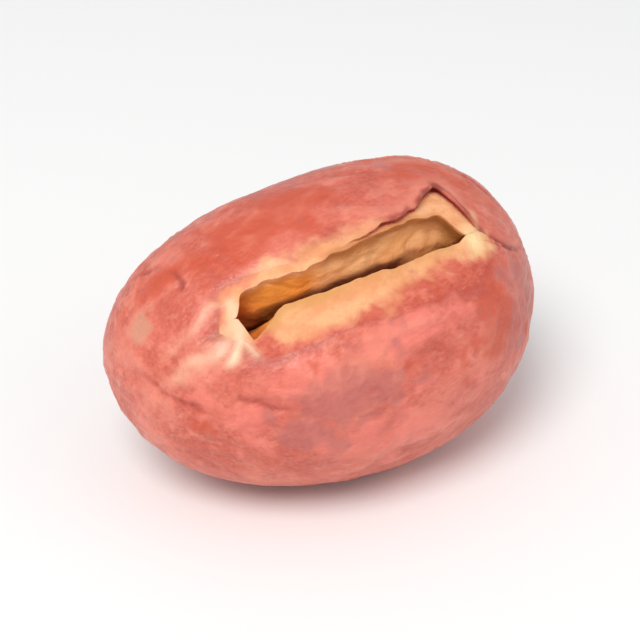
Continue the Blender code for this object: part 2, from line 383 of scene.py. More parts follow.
# The groove's wall, more orange than the brim: partly the broken flesh's own colour and partly
# painted light bounced between the halves
WALL_BASE = (0.97, 0.560, 0.270)
WALL_COLOURS = (
    ("toast", 1.0, (0.86, 0.420, 0.160)),
    ("orange_end", 1.0, (0.95, 0.390, 0.070)),
    ("left_end", 1.0, (0.66, 0.190, 0.030)),
)
FLESH_MARKS = (
    # painted shade just below the brim
    ("ledge_shade", 0.85, (0.46, 0.160, 0.035)),
    # painted shade in the groove's +X end
    ("right_end", 0.7, (0.22, 0.085, 0.012)),
    # painted shadow at the bottom of the groove
    ("line", 0.92, (0.11, 0.012, 0.001)),
    # painted shade along the front brim
    ("near_brim_shade", 0.8, (0.60, 0.290, 0.080)),
    # painted highlight beyond the groove's +X end
    ("end_highlight", 0.8, (0.98, 0.780, 0.420)),
)
PATTERN_STRETCH = 1.6
COAT_GRAIN = 0.00016
FLESH_GRAIN = 0.00012
GRAIN_HEIGHT = 0.00003

# Camera and light
CAMERA_AZIMUTH = math.radians(-33)
CAMERA_ELEVATION = math.radians(32)
CAMERA_LENS = 100.0
CAMERA_DISTANCE = 0.0650
CAMERA_SHIFT = 0.0007  # to the left, which puts the bean in the middle of the picture
FLOOR_HALF = 0.4
FLOOR_COLOUR = (0.86, 0.87, 0.88, 1)
DAYLIGHT = 0.60
SOFTBOXES = (  # (name, direction, distance, size, power, colour)
    ("key", (-0.55, -0.35, 1.0), 0.25, 0.14, 0.44, (1.0, 0.98, 0.95)),
    ("fill", (0.9, -0.8, 0.5), 0.30, 0.22, 0.10, (1.0, 1.0, 1.0)),
)


def smooth_step(value):
    value = np.clip(value, 0.0, 1.0)
    return value * value * (3 - 2 * value)


def window(x, start, end, ramp_in, ramp_out):
    """1 between start and end, 0 outside, with a smooth ramp inside each end."""
    return smooth_step((x - start) / ramp_in) * smooth_step((end - x) / ramp_out)


def bump(distance, reach):
    """1 at no distance, falling off smoothly over the reach."""
    return np.exp(-((distance / reach) ** 2))


def perlin(points, wave, lane=0.0):
    """Smooth noise of about -0.7 to 0.7 at each point; another lane gives another pattern."""
    places = np.asarray(points) / wave + lane
    values = [noise.noise(place) for place in places.reshape(-1, 3).tolist()]
    return np.array(values).reshape(places.shape[:-1])


def layered_noise(points, *layers):
    """Layers of noise added up, each given as (strength, wavelength, lane)."""
    return sum(strength * perlin(points, wave, lane) for strength, wave, lane in layers)


def ridges(points, wave, lane, sharpness):
    """1 along wandering crest lines, falling to 0 between them."""
    return 1 - np.minimum(np.abs(perlin(points, wave, lane)) * sharpness, 1)


def warped(points, wave, reach, lane):
    """The points, each pushed sideways by noise, so that patterns on them wander."""
    shifts = [perlin(points, wave, lane + 7.7 * axis) for axis in range(3)]
    return points + reach * np.stack(shifts, -1)


def section_sizes(station, inset):
    """(x, half width across the halves, half width towards the back, size) of each section."""
    along = -np.cos(station)
    size = np.sin(station) * (1 + END_BLUNTNESS * along**2)
    tapered = size * (1 + TAPER * along)
    x = along * (LENGTH / 2 - inset)
    return x, tapered * (THICKNESS / 2 - inset), tapered * (DEPTH / 2 - inset), size


def curl_at(x):
    share = 1 / 3 - (2 * x / LENGTH) ** 2
    return np.stack([0 * x, -SIDE_CURL * share, HILUM_CURL * share], -1)


def from_hilum(angle):
    """How far round the section an angle is from the hollow side, in radians."""
    return np.pi - np.abs((angle + np.pi) % (2 * np.pi) - np.pi)


def form_points(station, angle, inset=0.0, lift=0.0):
    """Points of the bean's form, as (along, across the halves, towards the back)."""
    station, angle = np.broadcast_arrays(station, angle)
    x, across, back, size = section_sizes(station, inset)
    radius = 1 + SECTION_SQUARENESS * np.sin(2 * angle) ** 2
    outwards = np.stack([0 * angle, np.sin(angle), np.cos(angle)], -1)
    points = np.stack([x, across * radius * np.sin(angle), back * radius * np.cos(angle)], -1)
    swell = UNDULATION * perlin(points, UNDULATION_WAVE)
    dent = HILUM_DENT * bump(x, HILUM_DENT_REACH) * bump(from_hilum(angle), HILUM_DENT_ANGLE)
    points = points + outwards * ((swell + lift - dent) * size)[..., None]
    return points + curl_at(x)


def tear_centre(x):
    """The section angle of the tear's centre line, and of the seam beyond its ends."""
    drop = smooth_step((x - TEAR_DROP_START) / (TEAR_DROP_END - TEAR_DROP_START))
    return TEAR_SLANT * x - TEAR_DROP * drop


def tear_opening(x, end_ramp):
    return window(x, TEAR_START, TEAR_END, TEAR_START_RAMP, end_ramp)


def tear_edge(x, side):
    """The section angle of the tear's lip on one side: 1 is the back half, -1 the front half."""
    width = TEAR_BACK_WIDTH if side > 0 else TEAR_FRONT_WIDTH
    lane = np.full_like(x, side * TEAR_JAG_LANES)
    coarse = perlin(np.stack([x / TEAR_JAG_WAVE, lane, 0 * x], -1), 1.0)
    fine = perlin(np.stack([x / FINE_JAG_WAVE, lane, 0 * x + 5.5], -1), 1.0)
    width = width * (1 + TEAR_WIDENING * x) + TEAR_JAG * coarse + FINE_JAG * fine
    width = width + START_SPREAD * smooth_step((START_SPREAD_END - x) / START_SPREAD_RAMP)
    if side < 0:
        return tear_centre(x) - width * tear_opening(x, TEAR_END_RAMP) * 2 / DEPTH
    width = width + APEX_SPREAD * bump(x - APEX_X, APEX_SPREAD_REACH)
    return tear_centre(x) + width * tear_opening(x, BACK_END_RAMP) * 2 / DEPTH


def rubbed(x):
    """1 where the back lip is rubbed thin, 0 where it stands up as a torn edge."""
    return smooth_step((RUBBED_END - x) / RUBBED_RAMP)


def rolled(points):
    """Form points turned into the bean's posture."""
    sine, cosine = math.sin(SPLIT_ELEVATION), math.cos(SPLIT_ELEVATION)
    y = points[..., 1] * sine - points[..., 2] * cosine
    up = points[..., 1] * cosine + points[..., 2] * sine
    x = points[..., 0] * math.cos(PITCH) - up * math.sin(PITCH)
    z = points[..., 0] * math.sin(PITCH) + up * math.cos(PITCH)
    return np.stack([x, y, z], -1)


def pressed(points, floor, rest_height=0.0):
    """Rolled points with the underside pressed flat, apart from the low points it rests on."""
    x, y = points[..., 0], points[..., 1]
    z = points[..., 2] - floor - rest_height - FLAT_RISE
    blend = (z + FLAT_BLEND) ** 2 / (4 * FLAT_BLEND)
    z = np.where(z < -FLAT_BLEND, 0.0, np.where(z < FLAT_BLEND, blend, z)) + FLAT_RISE
    nearest = np.min([np.hypot(x - low_x, y - low_y) for low_x, low_y in LOW_POINTS], axis=0)
    drawn = smooth_step(1 - nearest / LOW_POINT_REACH)
    drawn = drawn * smooth_step((LOW_POINT_LIMIT - z) / LOW_POINT_FADE)
    z = z * (1 - drawn)
    return np.stack([x, y, z + rest_height], -1)


def floor_level():
    station = np.pi * np.arange(1, FLOOR_STATIONS)[:, None] / FLOOR_STATIONS
    angle = 2 * np.pi * np.arange(FLOOR_COLUMNS)[None, :] / FLOOR_COLUMNS
    return rolled(form_points(station, angle))[..., 2].min() + REST_DEPTH


def grid_normals(points, centre_line):
    """Unit normals of a grid of points, facing away from the centre line."""
    along, around = np.gradient(points, axis=0), np.gradient(points, axis=1)
    normals = np.cross(along, around)
    normals /= np.maximum(np.linalg.norm(normals, axis=-1, keepdims=True), 1e-12)
    facing = np.sign(np.sum(normals * (points - centre_line), axis=-1, keepdims=True))
    return normals * facing


def mesh_object(name, vertices, faces, fields, material):
    """A smooth mesh object with one float attribute for each field."""
    mesh = bpy.data.meshes.new(name)
    mesh.from_pydata(vertices.tolist(), [], faces)
    mesh.validate()
    for field, values in fields.items():
        attribute = mesh.attributes.new(field, "FLOAT", "POINT")
        attribute.data.foreach_set("value", np.asarray(values, np.float32).ravel())
    mesh.shade_smooth()
    mesh.materials.append(material)
    made = bpy.data.objects.new(name, mesh)
    bpy.context.scene.collection.objects.link(made)
    return made


# The coat


def coat_angles(back_lip, front_lip, columns):
    """Section angles from lip to lip, a row for each ring, closest at the lips and the hilum."""
    share = np.arange(columns + 1) / columns
    share = share - COLUMN_CROWDING * np.sin(4 * np.pi * share)
    return back_lip[:, None] + (front_lip - back_lip)[:, None] * share[None, :]


def line_distance(along, around, line):
    """How far each place is from a line through the given places."""
    nearest = np.full(np.shape(along), 1.0)
    for (x0, y0), (x1, y1) in zip(line[:-1], line[1:]):
        step_x, step_y = x1 - x0, y1 - y0
        share = ((along - x0) * step_x + (around - y0) * step_y) / (step_x**2 + step_y**2)
        share = np.clip(share, 0, 1)
        away = np.hypot(along - x0 - share * step_x, around - y0 - share * step_y)
        nearest = np.minimum(nearest, away)
    return nearest


def lip_line(side):
    """One lip of the tear, as places (x, distance round the section from the tear's centre)."""
    x = np.linspace(TEAR_START, TEAR_END, LIP_SAMPLES)
    return list(zip(x, (tear_edge(x, side) - tear_centre(x)) * DEPTH / 2))


def coat_places(x, angle, points):
    """What the relief and the colours of the coat are worked out from, at each of its points."""
    turn = (angle - tear_centre(x) + np.pi) % (2 * np.pi) - np.pi
    side = turn * DEPTH / 2
    left_tip = np.array([-LENGTH / 2, 0, 0]) + curl_at(np.array(-LENGTH / 2))
    return {
        "x": x,
        "points": points,
        "side": side,
        "arc": ((angle + np.pi) % (2 * np.pi) - np.pi) * DEPTH / 2,
        "from_back_lip": line_distance(x, side, lip_line(1)),
        "from_front_lip": line_distance(x, side, lip_line(-1)),
        "from_left_tip": np.linalg.norm(points - left_tip, axis=-1),
        "hilum_side": from_hilum(angle) * DEPTH / 2,
    }


def wandered(places, layers):
    """Each place's x and distance from the split, shifted by a layer of noise each."""
    shifts = [layered_noise(places["points"], layer) for layer in layers]
    return places["x"] + shifts[0], places["arc"] + shifts[1]


def wrinkle_height(places):
    """How far the dried coat stands off the smooth form."""
    points = places["points"]
    stretched = warped(points, FOLD_WARP_WAVE, FOLD_WARP, 3.3) * FOLD_STRETCH
    folds = sum(
        height * (ridges(stretched, wave, lane, sharpness) - level)
        for height, wave, lane, sharpness, level in FOLDS
    )
    depth = np.clip(FOLD_MEAN + layered_noise(points, FOLD_PATCHES), *FOLD_RANGE)
    return layered_noise(points, DIMPLES) + folds * depth + layered_noise(stretched, CRINKLES)


def pucker_height(places):
    """Arcs round the -X tip, where the coat has drawn together."""
    away = places["from_left_tip"] + layered_noise(places["points"], PUCKER_WANDER)
    strength = np.clip(0.5 + layered_noise(places["points"], PUCKER_PATCHES), 0, 1)
    return strength * sum(rise * bump(away - ring, PUCKER_WIDTH) for ring, rise in PUCKERS)


def pale_streaks(places):
    """1 along the pale streaks at the blunt end of the tear."""
    x, arc = wandered(places, STREAK_WANDER)
    worn = np.clip(STREAK_MEAN + layered_noise(places["points"], STREAK_WEAR), STREAK_LEAST, 1)
    share = 0
    for line, strength, reach in PALE_STREAKS:
        share = np.maximum(share, strength * bump(line_distance(x, arc, line), reach))
    return share * worn


def dark_creases(places):
    """1 along the dark creases, broken up along the way."""
    x, arc = wandered(places, CREASE_WANDER)
    worn = np.clip(CREASE_MEAN + layered_noise(places["points"], CREASE_WEAR), 0, 1)
    lines = [bump(line_distance(x, arc, line), CREASE_REACH) for line in DARK_CREASES]
    return worn * np.max(lines, axis=0)


def seam_share(places):
    """1 in the crease beyond the tear's ends, fading towards the tips."""
    after = window(places["x"], *SEAM_AFTER)
    before = SEAM_BEFORE_SHARE * window(places["x"], *SEAM_BEFORE)
    return (after + before) * bump(places["side"], SEAM_REACH)


def hilum_oval(places):
    """1 on the scar's outline, 0 in its middle."""
    return np.hypot(places["x"] / HILUM_HALF_LENGTH, places["hilum_side"] / HILUM_HALF_WIDTH)


def hilum_height(places):
    """The raised rim of the scar, the slit down its middle, and the bump and the pore beside it."""
    oval, side = hilum_oval(places), places["hilum_side"]
    height = HILUM_RIM * bump(oval - HILUM_RIM_OVAL, HILUM_RIM_REACH)
    slit = bump(side, HILUM_SLIT_REACH) * (oval < HILUM_SLIT_OVAL)
    height = height - HILUM_SLIT_DEPTH * slit
    for x, rise, reach in HILUM_BUMPS:
        height = height + rise * bump(np.hypot(places["x"] - x, side), reach)
    return height


def coat_height(places):
    """How far the coat's outer face stands off the smooth form."""
    thin = rubbed(places["x"])
    unworn = smooth_step(WORN_RELIEF + places["from_front_lip"] / WORN_REACH)
    height = wrinkle_height(places) * unworn + pucker_height(places)
    height = height + STREAK_HEIGHT * pale_streaks(places)
    height = height - SEAM_DEPTH * seam_share(places) - CREASE_DEPTH * dark_creases(places)
    height = height + (1 - thin) * BACK_LIP_CURL * bump(places["from_back_lip"], BACK_LIP_REACH)
    height = height - thin * LIP_SINK * bump(places["from_back_lip"], LIP_SINK_REACH)
    height = height - LIP_SINK * bump(places["from_front_lip"], LIP_SINK_REACH)
    return height + hilum_height(places)


def patch_share(places, patches, lane):
    """1 inside the patches, with wandering edges."""
    layers = [(strength, wave, lane + step) for strength, wave, step in PATCH_WANDER]
    wander = 1 + layered_noise(places["points"], *layers)
    share = 0
    for x, side, along, around in patches:
        distance = np.hypot((places["x"] - x) / along, (places["side"] - side) / around)
        share = np.maximum(share, smooth_step(PATCH_EDGE - distance * wander))
    return share


def bare_share(x, arc, points):
    """1 where the flesh looks bare and 0 where the coat covers it, fading between the two."""
    ragged = layered_noise(points, *BAND_RAGS)
    front = np.interp(x, *zip(*FRONT_BAND))
    back = np.interp(x, *zip(*BACK_BAND))
    beyond = np.where(arc < 0, -arc - front, arc - back) + ragged
    share = 1 - smooth_step(0.5 + beyond / (2 * BAND_FADE))
    return share * window(x + ragged, *BAND_ALONG)


def torn_edge_share(places):
    """1 along the dark, frayed edge of the back lip where it isn't rubbed thin, partly painted
    shadow.
    """
    points = places["points"]
    dashes = smooth_step(0.62 + layered_noise(points * np.array([1, 0, 0]), TORN_EDGE_DASHES))
    width = TORN_EDGE_WIDTH + layered_noise(points, TORN_EDGE_FRAY)
    edge = smooth_step(1.25 - places["from_back_lip"] / width) * dashes
    return edge * smooth_step((places["x"] - TORN_EDGE_START) / TORN_EDGE_RAMP)


def coat_fields(places, height):
    """The shares of each colour of the coat, worked out from where a point is."""
    apex = bump(np.hypot(places["x"] - APEX[0], places["side"] - APEX[1]), APEX_REACH)
    # Partly painted shadow along the torn back lip and at its apex; painted shade in the seam and
    # the creases
    dark = torn_edge_share(places) + apex + 1.3 * seam_share(places) + 0.45 * dark_creases(places)
    oval = hilum_oval(places)
    return {
        "cream": np.clip(bare_share(places["x"], places["arc"], places["points"]), 0, 1),
        "streak_and_highlight": pale_streaks(places),
        "orange": patch_share(places, ORANGE_PATCHES, 101.0),
        "mauve": patch_share(places, MAUVE_PATCHES, 111.0),
        "pink": patch_share(places, PINK_PATCHES, 116.0),
        "rub_and_highlight": patch_share(places, RUB_AND_HIGHLIGHT_MARKS, 121.0),
        "dark": np.clip(dark, 0, 1),
        # the relief height, for painted shade in the hollows and paler crests
        "relief_light_and_shade": np.clip(0.5 + height / CREST_RANGE, 0, 1),
        "scar": smooth_step((SCAR_OVAL - oval) / SCAR_FADE),
        "scar_ring": bump(oval - SCAR_RING_OVAL, SCAR_RING_REACH),
    }


def coat_faces(outer, inner, back_rim, front_rim, tips, inner_tips):
    """Faces of the outer side, the inner side and the lips between them, as vertex numbers."""
    faces = []

    def sheet(grid, flip):
        one, two = grid[:-1, :-1], grid[:-1, 1:]
        three, four = grid[1:, 1:], grid[1:, :-1]
        corners = (four, three, two, one) if flip else (one, two, three, four)
        faces.extend(np.stack(corners, -1).reshape(-1, 4).tolist())

    def cap(ring, tip, flip):
        for one, two in zip(ring[:-1].tolist(), ring[1:].tolist()):
            faces.append((two, one, tip) if flip else (one, two, tip))

    sheet(outer, False)
    sheet(inner, True)
    cap(outer[0], tips[0], True)
    cap(outer[-1], tips[1], False)
    cap(inner[0], inner_tips[0], False)
    cap(inner[-1], inner_tips[1], True)
    for i in range(len(outer) - 1):
        if outer[i, 0] == outer[i, -1] and outer[i + 1, 0] == outer[i + 1, -1]:
            continue
        for grid_out, rim, grid_in, column, flip in (
            (outer, back_rim, inner, 0, False),
            (outer, front_rim, inner, -1, True),
        ):
            strip = [(grid_out[j, column], rim[j], grid_in[j, column]) for j in (i, i + 1)]
            for k in range(2):
                face = [strip[0][k], strip[1][k], strip[1][k + 1], strip[0][k + 1]]
                face = [int(v) for v in dict.fromkeys(face)]
                if len(face) > 2:
                    faces.append(tuple(face[::-1] if flip else face))
    return faces


def coat_surface(station, lips, closed, columns):
    """The coat's smooth form, a row of points for each ring, with normals, places and relief."""
    ring_x = section_sizes(station, 0)[0]
    angle = coat_angles(*lips, columns)
    points = form_points(station[:, None], angle)
    centre_line = np.stack([ring_x, 0 * ring_x, 0 * ring_x], -1) + curl_at(ring_x)
    normals = grid_normals(points, centre_line[:, None])
    seam = normals[closed, 0] + normals[closed, -1]
    seam /= np.linalg.norm(seam, axis=-1, keepdims=True)
    normals[closed, 0] = normals[closed, -1] = seam
    places = coat_places(np.broadcast_to(ring_x[:, None], angle.shape), angle, points)
    return points, normals, places, coat_height(places)


def lip_rim(outer, inner, column, neighbour):
    """The middle of a lip's edge, standing a little into the tear."""
    middle = (outer[:, column] + inner[:, column]) / 2
    outwards = outer[:, column] - outer[:, neighbour]
    outwards /= np.linalg.norm(outwards, axis=-1, keepdims=True)
    return middle + outwards * LIP_ROUNDING


def grid_numbers(start, shape, closed):
    """A grid's vertex numbers, with the first and last column one and the same where closed."""
    numbers = start + np.arange(shape[0] * shape[1]).reshape(shape[:2])
    numbers[closed, -1] = numbers[closed, 0]
    return numbers


def rim_numbers(start, inner_numbers, closed):
    """A lip's vertex numbers, which are the inner face's own where the tear is closed."""
    numbers = start + np.arange(COAT_RINGS)
    numbers[closed] = inner_numbers[closed, 0]
    return numbers


def coat_vertex_fields(values):
    """A field of the outer face, passed on to the lining, the lips and the tips."""
    lining = values[:, np.linspace(0, COAT_COLUMNS, LINING_COLUMNS + 1).astype(int)]
    ends = [values[0, 0], values[-1, 0]]
    return np.concatenate([values.ravel(), lining.ravel(), values[:, 0], values[:, -1], ends, ends])


def build_coat(floor):
    """The coat's vertices, faces and fields."""
    station = np.pi * (np.arange(COAT_RINGS) + 1.0) / (COAT_RINGS + 1)
    ring_x = section_sizes(station, 0)[0]
    lips = tear_edge(ring_x, 1), tear_edge(ring_x, -1) + 2 * np.pi
    closed = tear_opening(ring_x, TEAR_END_RAMP) <= 0
    points, normals, places, height = coat_surface(station, lips, closed, COAT_COLUMNS)
    outer = points + normals * height[..., None]

    in_points, in_normals, in_places, in_height = coat_surface(
        station, lips, closed, LINING_COLUMNS
    )
    thin = bump(in_places["from_front_lip"], LIP_SINK_REACH)
    wall = COAT_WALL + (FRONT_LIP_WALL - COAT_WALL) * thin
    inner = in_points + in_normals * (in_height - wall)[..., None]
    front_wall = np.where(closed, COAT_WALL, FRONT_LIP_WALL)[:, None]
    inner[:, 0] = outer[:, 0] - normals[:, 0] * COAT_WALL
    inner[:, -1] = outer[:, -1] - normals[:, -1] * front_wall

    rims = [lip_rim(outer, inner, 0, 1), lip_rim(outer, inner, -1, -2)]
    tips = np.array([form_points(np.array(s), np.array(0.0)) for s in (0.0, np.pi)])
    inner_tips = tips * (1 - 2 * COAT_WALL / LENGTH)
    blocks = [outer.reshape(-1, 3), inner.reshape(-1, 3), *rims, tips, inner_tips]
    starts = [int(start) for start in np.cumsum([0] + [len(block) for block in blocks])]
    outer_numbers = grid_numbers(starts[0], outer.shape, closed)
    inner_numbers = grid_numbers(starts[1], inner.shape, closed)
    faces = coat_faces(
        outer_numbers,
        inner_numbers,
        rim_numbers(starts[2], inner_numbers, closed),
        rim_numbers(starts[3], inner_numbers, closed),
        (starts[4], starts[4] + 1),
        (starts[5], starts[5] + 1),
    )
    vertices = pressed(rolled(np.concatenate(blocks)), floor)
    fields = coat_fields(places, height)
    return vertices, faces, {name: coat_vertex_fields(v) for name, v in fields.items()}


# The flesh


def groove_width(x, below_back, side):
    """How far the groove's wall stands off the split at a depth below the back."""
    places = np.stack([x, 0 * x, 0 * x], -1)
    if side > 0:
        share = np.interp(x, *zip(*BRIM_ARCH)) + layered_noise(places, *BRIM_WAVES)
        width = GROOVE_BACK_WIDTH * share
    else:
        width = GROOVE_FRONT_WIDTH + WEDGE_WIDTH * smooth_step((WEDGE_END - x) / WEDGE_RAMP)
        width = width + layered_noise(places, *FRONT_BRIM_WAVES)
    x, below_back = np.broadcast_arrays(x, below_back)
    depths = np.stack([0 * x + side, below_back, 0 * x], -1)
    ends = x + END_WAVER * perlin(depths, END_WAVER_WAVE, 195.0)
    start_ramp = VISIBLE_START_RAMP if side > 0 else WEDGE_START_RAMP
    opening = window(ends, GROOVE_START, VISIBLE_GROOVE_END, start_ramp, VISIBLE_END_RAMP)
    return np.maximum(width, 0) * opening * smooth_step(1 - below_back / VISIBLE_GROOVE_DEPTH)


def half_gap(x):
    """Half the gap between the halves: open along the groove, and shut beyond its ends."""
    return (FLESH_GAP / 2 + SHUT_OVERLAP) * window(x, *GAP_ALONG) - SHUT_OVERLAP


def crowded(count, strength):
    """Shares from 0 to 1, closest together at the start."""
    return (np.arange(count + 1) / count) ** strength


def flesh_surface(side, inset):
    """Points of one half, a closed loop for each ring, and where they lie.

    The other three grids are each point's depth in the groove, its distance round the section from
    the split, and that from the groove's brim.
    """
    ring = np.arange(FLESH_RINGS) + FLESH_FIRST_RING
    station = np.pi * ring / (FLESH_RINGS + 2 * FLESH_FIRST_RING - 1)
    x, across, _, _ = section_sizes(station, inset)
    gap = half_gap(x)
    brim = gap + groove_width(x, 0 * x, side)
    first = np.arcsin(brim / across)[:, None]
    last = np.pi - np.arcsin(np.maximum(gap, 0) / across)[:, None]
    angle = first + (last - first) * crowded(FLESH_SKIN_POINTS, SKIN_CROWDING)[None, :]
    thin = rubbed(x)[:, None] if side > 0 else np.ones((len(x), 1))
    right_end = smooth_step((x - END_RISE_START) / END_RISE_RAMP)[:, None]
    thin = np.maximum(thin, right_end * bump(angle, END_RISE_ANGLE))
    near_tear = bump(np.maximum(angle - FLESH_RISE_ANGLE, 0), FLESH_RISE_REACH)
    rise = FLESH_TEAR_RISE + (FLESH_RUBBED_RISE - FLESH_TEAR_RISE) * thin
    rise = rise * near_tear * window(x, *FLESH_RISE_ALONG)[:, None]
    skin = form_points(station[:, None], side * angle, inset, rise)
    top, bottom = skin[:, :1, 2], skin[:, -1:, 2]
    share = crowded(FLESH_WALL_POINTS, WALL_CROWDING)[None, 1:-1][:, ::-1]
    height = top + (bottom - top) * share
    below = top - height
    stand_off = gap[:, None] + groove_width(x[:, None], below, side)
    wall_x = np.broadcast_to(x[:, None], height.shape)
    wall = np.stack([wall_x, curl_at(wall_x)[..., 1] + side * stand_off, height], -1)
    points = np.concatenate([skin, wall], 1)
    depth = np.concatenate([np.zeros(skin.shape[:2]), below], 1)
    arc = np.concatenate([side * angle * DEPTH / 2, 0 * below], 1)
    from_brim = np.concatenate([(angle - first) * DEPTH / 2, 0 * below], 1)
    return points, depth, arc, from_brim


def flesh_height(points, depth):
    """The mealy, torn surface of the flesh."""
    inside = window(depth, 0.0, VISIBLE_GROOVE_DEPTH, WALL_FADE, WALL_FADE)
    height = layered_noise(points, *FLESH_GRAINS) + inside * layered_noise(points, *WALL_LUMPS)
    fibred = warped(points * FIBRE_STRETCH, FIBRE_WARP_WAVE, FIBRE_WARP, 163.0)
    fibres = ridges(fibred, FIBRE_WAVE, FIBRE_LANE, FIBRE_SHARPNESS)
    share = FIBRE_LEAST + (1 - FIBRE_LEAST) * smooth_step(depth / WALL_FADE)
    return height - FIBRE_DEPTH * fibres * share


def flesh_fields(points, depth, arc, from_brim, side):
    """The shares of each colour of the flesh, worked out from where a point is."""
    x, outside = points[..., 0], depth <= 0
    deep = depth / VISIBLE_GROOVE_DEPTH
    wander = layered_noise(points, FLESH_WANDER)
    toast = 0.5 + layered_noise(points * TOAST_STRETCH, TOAST)
    # Painted shade just below the groove's brim
    ledge_shade = bump(depth - LEDGE_DEPTH + 0.3 * wander, LEDGE_REACH)
    ledge_shade = ledge_shade * smooth_step((x - LEDGE_START) / LEDGE_RAMP) * bump(from_brim, LEDGE_BRIM_REACH)
    # Painted shadow at the bottom of the groove
    line = smooth_step((deep - LINE_DEPTH + LINE_WANDER * wander) / LINE_FADE)
    line = line * (LINE_FAINT + (1 - LINE_FAINT) * window(x + 2 * wander, *LINE_ALONG))
    in_tear = (arc > UNDER_LIP) & (arc < tear_edge(x, 1) * DEPTH / 2) & (x < TEAR_END)
    bare = np.maximum(bare_share(x, arc, points), (1 - rubbed(x)) * in_tear)
    # Painted shade along the front half's brim
    brim_shade = np.where(arc < 0, bump(from_brim, BRIM_SHADE_REACH), 0)
    brim_shade = brim_shade * window(x, *BRIM_SHADE_ALONG)
    stronger = smooth_step((BRIM_SHADE_FULL - x) / BRIM_SHADE_RAMP)
    # Painted highlight beyond the groove's +X end
    from_spot = np.hypot(x - BRIGHT_SPOT[0], (arc - BRIGHT_SPOT[1]) * BRIGHT_STRETCH)
    # Painted shade deep in the groove's +X end
    right_end = smooth_step((x - RIGHT_END_START) / RIGHT_END_RAMP)
    # pale streaks, partly painted highlight
    streak_and_highlight = pale_streaks({"x": x, "arc": arc, "points": points})
    return {
        "deep": np.clip(deep, 0, 1),
        "line": np.where(outside, 0, line),
        "near_brim_shade": brim_shade * (0.5 + 0.5 * stronger),
        "streak_and_highlight": np.where(outside, streak_and_highlight, 0),
        "right_end": right_end * (depth > RIGHT_END_DEPTH),
        "toast": np.clip(toast, 0, 1),
        "ledge_shade": ledge_shade * (1.0 if side > 0 else FRONT_LEDGE_SHARE),
        "orange_end": smooth_step((ORANGE_END - x + wander) / LEFT_RAMP),
        "left_end": smooth_step((LEFT_END - x + wander) / LEFT_RAMP),
        "end_highlight": bump(from_spot, BRIGHT_REACH) * outside,
        "covered": np.where(outside, 1 - bare, 0),
    }


def build_flesh(side, floor):
    """The vertices, faces and fields of one half: 1 is the back half, -1 the front half."""
    points, depth, arc, from_brim = flesh_surface(side, FLESH_INSET)
    middle = points.mean(axis=1, keepdims=True)
    ahead, behind = np.roll(points, -1, axis=1), np.roll(points, 1, axis=1)
    normals = np.cross(np.gradient(points, axis=0), ahead - behind)
    normals /= np.maximum(np.linalg.norm(normals, axis=-1, keepdims=True), 1e-12)
    outer = normals[:, FLESH_SKIN_POINTS // 2] * (points - middle)[:, FLESH_SKIN_POINTS // 2]
    normals *= np.sign(outer.sum(axis=-1))[:, None, None]
    height = flesh_height(points, depth)
    moved = points + normals * height[..., None]
    ends = np.concatenate([moved[:1].mean(axis=1), moved[-1:].mean(axis=1)])
    fields = flesh_fields(points, depth, arc, from_brim, side)
    rings, around = moved.shape[:2]
    numbers = np.arange(rings * around).reshape(rings, around)
    following = np.roll(numbers, -1, axis=1)
    quads = np.stack([numbers[:-1], following[:-1], following[1:], numbers[1:]], -1)
    faces = quads.reshape(-1, 4).tolist()
    first_tip = rings * around
    for one, two in zip(numbers[0].tolist(), following[0].tolist()):
        faces.append((two, one, first_tip))
    for one, two in zip(numbers[-1].tolist(), following[-1].tolist()):
        faces.append((one, two, first_tip + 1))
    vertices = np.concatenate([moved.reshape(-1, 3), ends])
    vertices = pressed(rolled(vertices), floor, FLESH_INSET)
    joined = {n: np.concatenate([v.ravel(), [v[0, 0], v[-1, 0]]]) for n, v in fields.items()}
    return vertices, faces, joined


# Materials


def add_node(tree, kind, inputs=None, **settings):
    """A new node with its settings, and values or links for its inputs."""
    made = tree.nodes.new(kind)
    for name, value in settings.items():
        setattr(made, name, value)
    for key, value in (inputs or {}).items():
        if isinstance(value, bpy.types.NodeSocket):
            tree.links.new(value, made.inputs[key])
        else:
            made.inputs[key].default_value = value
    return made


def field(tree, name):
    return add_node(tree, "ShaderNodeAttribute", attribute_name=name).outputs["Fac"]


def mottle(tree, place, wave, low, high, detail=3.0):
    """0 to 1 noise of that wavelength, with the range from low to high stretched to fill it."""
    texture = add_node(
        tree,
        "ShaderNodeTexNoise",
        {"Vector": place, "Scale": 1 / wave, "Detail": detail, "Roughness": 0.55},
    )
    stretched = add_node(
        tree,
        "ShaderNodeMapRange",
        {"Value": texture.outputs["Fac"], "From Min": low, "From Max": high},
        interpolation_type="SMOOTHSTEP",
    )
    return stretched.outputs["Result"]


def scaled(tree, value, factor):
    return add_node(
        tree, "ShaderNodeMath", {0: value, 1: factor}, operation="MULTIPLY"
    ).outputs["Value"]


def blend(tree, share, below, above):
    """The colour below, covered by the colour above to the share."""
    colours = {6: below, 7: above}
    for key, colour in colours.items():
        if not isinstance(colour, bpy.types.NodeSocket):
            colours[key] = (*colour, 1)
    return add_node(tree, "ShaderNodeMix", {0: share, **colours}, data_type="RGBA").outputs[2]


def painted(tree, colour, layers):
    """The colour with each (field, strength, colour) painted over it in turn."""
    for name, strength, paint in layers:
        colour = blend(tree, scaled(tree, field(tree, name), strength), colour, paint)
    return colour


def mottled(tree, place, colour, layers):
    """The colour with each (wavelength, low, high, detail, strength, colour) over it in turn."""
    for wave, low, high, detail, strength, paint in layers:
        share = scaled(tree, mottle(tree, place, wave, low, high, detail), strength)
        colour = blend(tree, share, colour, paint)
    return colour


def set_inputs(shader, values):
    for name, value in values.items():
        shader.inputs[name].default_value = value


def new_material(name):
    material = bpy.data.materials.new(name)
    material.use_nodes = True
    tree = material.node_tree
    return material, tree, tree.nodes["Principled BSDF"]


